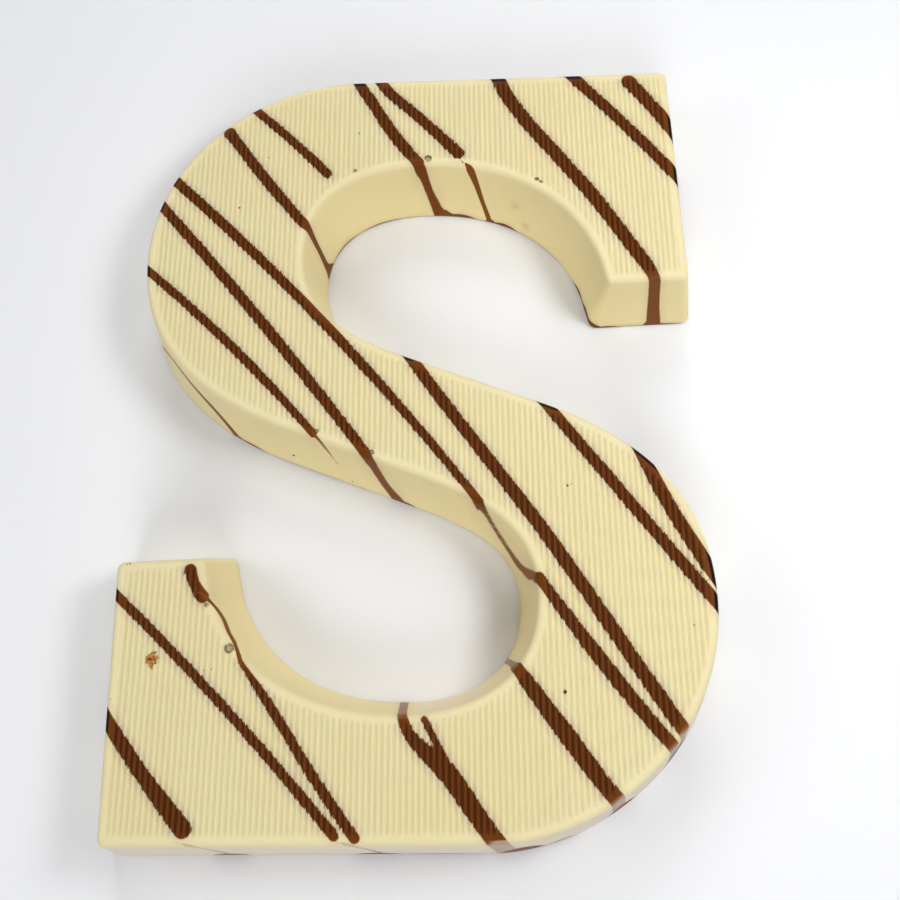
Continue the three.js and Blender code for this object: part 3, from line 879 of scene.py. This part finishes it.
def moulded_chocolate():
    """White chocolate with dark lines in it, both with the satin of the mould."""
    material, output = new_material("moulded_tempered_chocolate")
    place = add(material, "ShaderNodeTexCoord").outputs["Object"]

    def read(name):
        """A number stored on the points."""
        return add(material, "ShaderNodeAttribute", {"attribute_name": name}).outputs["Fac"]

    def math(operation, a, b=0.0, c=0.0):
        """One sum of up to three values."""
        return add(material, "ShaderNodeMath", {"operation": operation}, in_0=a, in_1=b, in_2=c).outputs[0]

    def mix(factor, a, b):
        """One colour turning into another."""
        return add(material, "ShaderNodeMix", {"data_type": "RGBA"}, in_0=factor, in_6=a, in_7=b).outputs[2]

    def step_down(value, start, end):
        """1 below start, 0 above end, smooth between."""
        return add(material, "ShaderNodeMapRange", {"interpolation_type": "SMOOTHSTEP"},
                   Value=value, From_Min=end, From_Max=start).outputs[0]

    in_groove, layer_and_edge_shade_here = read("groove"), read("layer_and_edge_shade")
    drift = add(material, "ShaderNodeTexNoise", {"Scale": 45.0, "Detail": 3.0}, Vector=place).outputs["Fac"]
    along_ribs = add(material, "ShaderNodeMapping", {"Scale": (4200.0, 900.0, 900.0)}, Vector=place)
    ragged = add(material, "ShaderNodeTexNoise", {"Scale": 1.0, "Detail": 2.0},
                 Vector=along_ribs.outputs["Vector"]).outputs["Fac"]
    # This distance also covers the smears and the painted shade at the foot
    distance = read("line_distance")
    on_ribs = math("MULTIPLY_ADD", read("ribbed"), 0.85, 0.15)
    wander = math("MULTIPLY", on_ribs, math("MULTIPLY_ADD", ragged, RAGGEDNESS, -RAGGEDNESS / 2))
    moved = math("ADD", distance, wander)
    dark_share = math("MULTIPLY", step_down(moved, -EDGE_SOFTNESS, EDGE_SOFTNESS),
                      math("MINIMUM", math("MULTIPLY", layer_and_edge_shade_here, 2.5), 1.0))
    past_middle = math("SUBTRACT", math("ABSOLUTE", read("thread_offset")), read("thread_half"))
    in_thread = step_down(past_middle, -THREAD_SOFTNESS, THREAD_SOFTNESS)
    thread_share = math("MULTIPLY", in_thread, read("thread_near"))
    # A grey tint near each line, stronger in the grooves than on the crests
    side_tint_here = math("MULTIPLY_ADD", in_groove, SIDE_TINT_IN_GROOVE, SIDE_TINT_ON_CREST)
    side_tint = math("MULTIPLY", step_down(distance, 0.0, SIDE_TINT_WIDTH), side_tint_here)

    cream = mix(drift, colour(WHITE[0]), colour(WHITE[1]))
    cream = mix(read("wall"), cream, colour(WHITE_ON_WALL))
    # Painted shade: the cream is painted darker towards the bottom of each groove
    cream = mix(math("MULTIPLY", in_groove, 0.48), cream, colour(WHITE_GROOVE_SHADE))
    cream = mix(side_tint, cream, colour(SIDE_TINT))
    # Painted reflection: the wall that faces front is painted towards pale grey
    cream = mix(math("MULTIPLY", read("painted_reflection"), 0.7), cream, colour(PAINTED_REFLECTION))
    # Painted shade in the bubble pits, and the two smudges
    cream = mix(math("MULTIPLY", read("pit_shade_and_smudge"), 0.9), cream, colour(PIT_SHADE_AND_SMUDGE))
    brown = mix(ragged, colour(DARK[0]), colour(DARK[1]))
    # Painted shade: the dark is painted darker towards the bottom of each groove
    brown = mix(math("MULTIPLY", in_groove, 0.85), brown, colour(DARK_GROOVE_SHADE))
    brown = mix(math("MULTIPLY_ADD", layer_and_edge_shade_here, 2.0, -1.0), colour(THIN_DARK), brown)
    brown = mix(math("MULTIPLY_ADD", layer_and_edge_shade_here, 2.5, -0.5), colour(FAINT_DARK), brown)
    # Painted shade: above 1 the dark turns near black, along the rounded edge
    brown = mix(math("SUBTRACT", layer_and_edge_shade_here, 1.0), brown, colour(EDGE_SHADE_DARK))
    surface_colour = mix(thread_share, mix(dark_share, cream, brown), colour(THREAD))

    grain = add(material, "ShaderNodeTexNoise", {"Scale": 1400.0, "Detail": 3.0}, Vector=place)
    relief = add(material, "ShaderNodeBump", {"Strength": 0.25, "Distance": 0.00006},
                 Height=grain.outputs["Fac"])
    sheen = add(material, "ShaderNodeMapRange", Value=drift, To_Min=0.42, To_Max=0.55)
    shader = add(material, "ShaderNodeBsdfPrincipled",
                 {"IOR": 1.46, "Specular IOR Level": 0.1, "Subsurface Weight": 0.3,
                  "Subsurface Radius": (1.0, 0.7, 0.35), "Subsurface Scale": 0.0012},
                 Base_Color=surface_colour, Roughness=sheen.outputs[0], Normal=relief.outputs[0])
    material.node_tree.links.new(shader.outputs["BSDF"], output.inputs["Surface"])
    return material


def crumb_material(name, colours, roughness):
    """A lump in two colours that change over a few tenths of a millimetre."""
    material, output = new_material(name)
    place = add(material, "ShaderNodeTexCoord").outputs["Object"]
    patches = add(material, "ShaderNodeTexNoise", {"Scale": 1500.0, "Detail": 2.0}, Vector=place)
    sharper = add(material, "ShaderNodeMapRange", Value=patches.outputs["Fac"], From_Min=0.42, From_Max=0.58)
    blend = add(material, "ShaderNodeMix", {"data_type": "RGBA"}, in_0=sharper.outputs[0],
                in_6=colour(colours[0]), in_7=colour(colours[1]))
    shader = add(material, "ShaderNodeBsdfPrincipled", {"Roughness": roughness}, Base_Color=blend.outputs[2])
    material.node_tree.links.new(shader.outputs["BSDF"], output.inputs["Surface"])
    return material


crumb.data.materials.append(crumb_material("caramelised_crumb", ("#c98a2e", "#5a3008"), 0.35))
flecks.data.materials.append(crumb_material("dry_cocoa_flecks", ("#3a2008", "#5c4415"), 0.6))
letter.data.materials.append(moulded_chocolate())
print("materials:", [m.name for m in letter.data.materials])

# %% [markdown]
# ## Floor, light and camera
#
# The letter was photographed from above on a white table, under soft light from all sides that is
# strongest at the right: the shadows fall to the left.

# %% The floor
FLOOR_SIZE = 3000.0
FLOOR_COLOUR = "#edeef1"
corner = FLOOR_SIZE / 2
floor = mesh_object("table", np.array([(-corner, -corner, 0), (corner, -corner, 0),
                                       (corner, corner, 0), (-corner, corner, 0.0)]),
                    np.array([(0, 1, 2, 3)]), smooth=False)
table_paint, table_output = new_material("matt_white_table")
paint = add(table_paint, "ShaderNodeBsdfPrincipled", {"Base Color": colour(FLOOR_COLOUR), "Roughness": 0.9})
table_paint.node_tree.links.new(paint.outputs["BSDF"], table_output.inputs["Surface"])
floor.data.materials.append(table_paint)

# %% The lights: three on the right, and three wide ones in front, behind and on the left
ROOM_LIGHT = 0.04
LIGHTS = {
    "right_near": {"place": (150.0, 15.0, 205.0), "size": 85.0, "power": 0.24},
    "right_window": {"place": (300.0, -60.0, 400.0), "size": 150.0, "power": 0.25},
    "far_right": {"place": (320.0, 320.0, 420.0), "size": 220.0, "power": 0.30},
    "front": {"place": (0.0, -550.0, 400.0), "size": 350.0, "power": 2.15},
    "back": {"place": (0.0, 550.0, 400.0), "size": 350.0, "power": 1.75},
    "left": {"place": (-500.0, 0.0, 400.0), "size": 350.0, "power": 1.05},
}

for name, facts in LIGHTS.items():
    light = bpy.data.lights.new(name, "AREA")
    light.shape = "DISK"
    light.size = facts["size"] * MM
    light.energy = facts["power"]
    lamp = bpy.data.objects.new(name, light)
    lamp.location = Vector(facts["place"]) * MM
    lamp.rotation_euler = (-lamp.location).to_track_quat("-Z", "Y").to_euler()
    bpy.context.scene.collection.objects.link(lamp)

world = bpy.data.worlds.new("room")
world.use_nodes = True
world.node_tree.nodes["Background"].inputs["Color"].default_value = (1, 1, 1, 1)
world.node_tree.nodes["Background"].inputs["Strength"].default_value = ROOM_LIGHT
bpy.context.scene.world = world
bpy.context.scene.view_settings.view_transform = "Standard"

# %% The camera, held above the lower half of the letter
CAMERA_PLACE = (13.0, -58.9, 181.4)
CAMERA_TARGET = (6.8, -7.0, THICKNESS)
CAMERA_ROLL = -0.54              # degrees
LENS = 38.0

camera_data = bpy.data.cameras.new("camera")
camera_data.lens = LENS
camera_data.sensor_width = 36.0
camera_data.clip_start = 0.01
camera = bpy.data.objects.new("camera", camera_data)
aim = (Vector(CAMERA_TARGET) - Vector(CAMERA_PLACE)).normalized()
level = aim.cross(Vector((0, 1, 0))).normalized()
turn = Matrix((level, level.cross(aim), -aim)).transposed()
roll = Matrix.Rotation(np.radians(CAMERA_ROLL), 3, "Z")
camera.matrix_world = Matrix.LocRotScale(Vector(CAMERA_PLACE) * MM, (turn @ roll).to_quaternion(), None)
bpy.context.scene.collection.objects.link(camera)
bpy.context.scene.camera = camera
tilt = round(float(np.degrees(np.arccos(-aim.z))), 1)
print("the camera looks down at", tilt, "degrees from straight down")
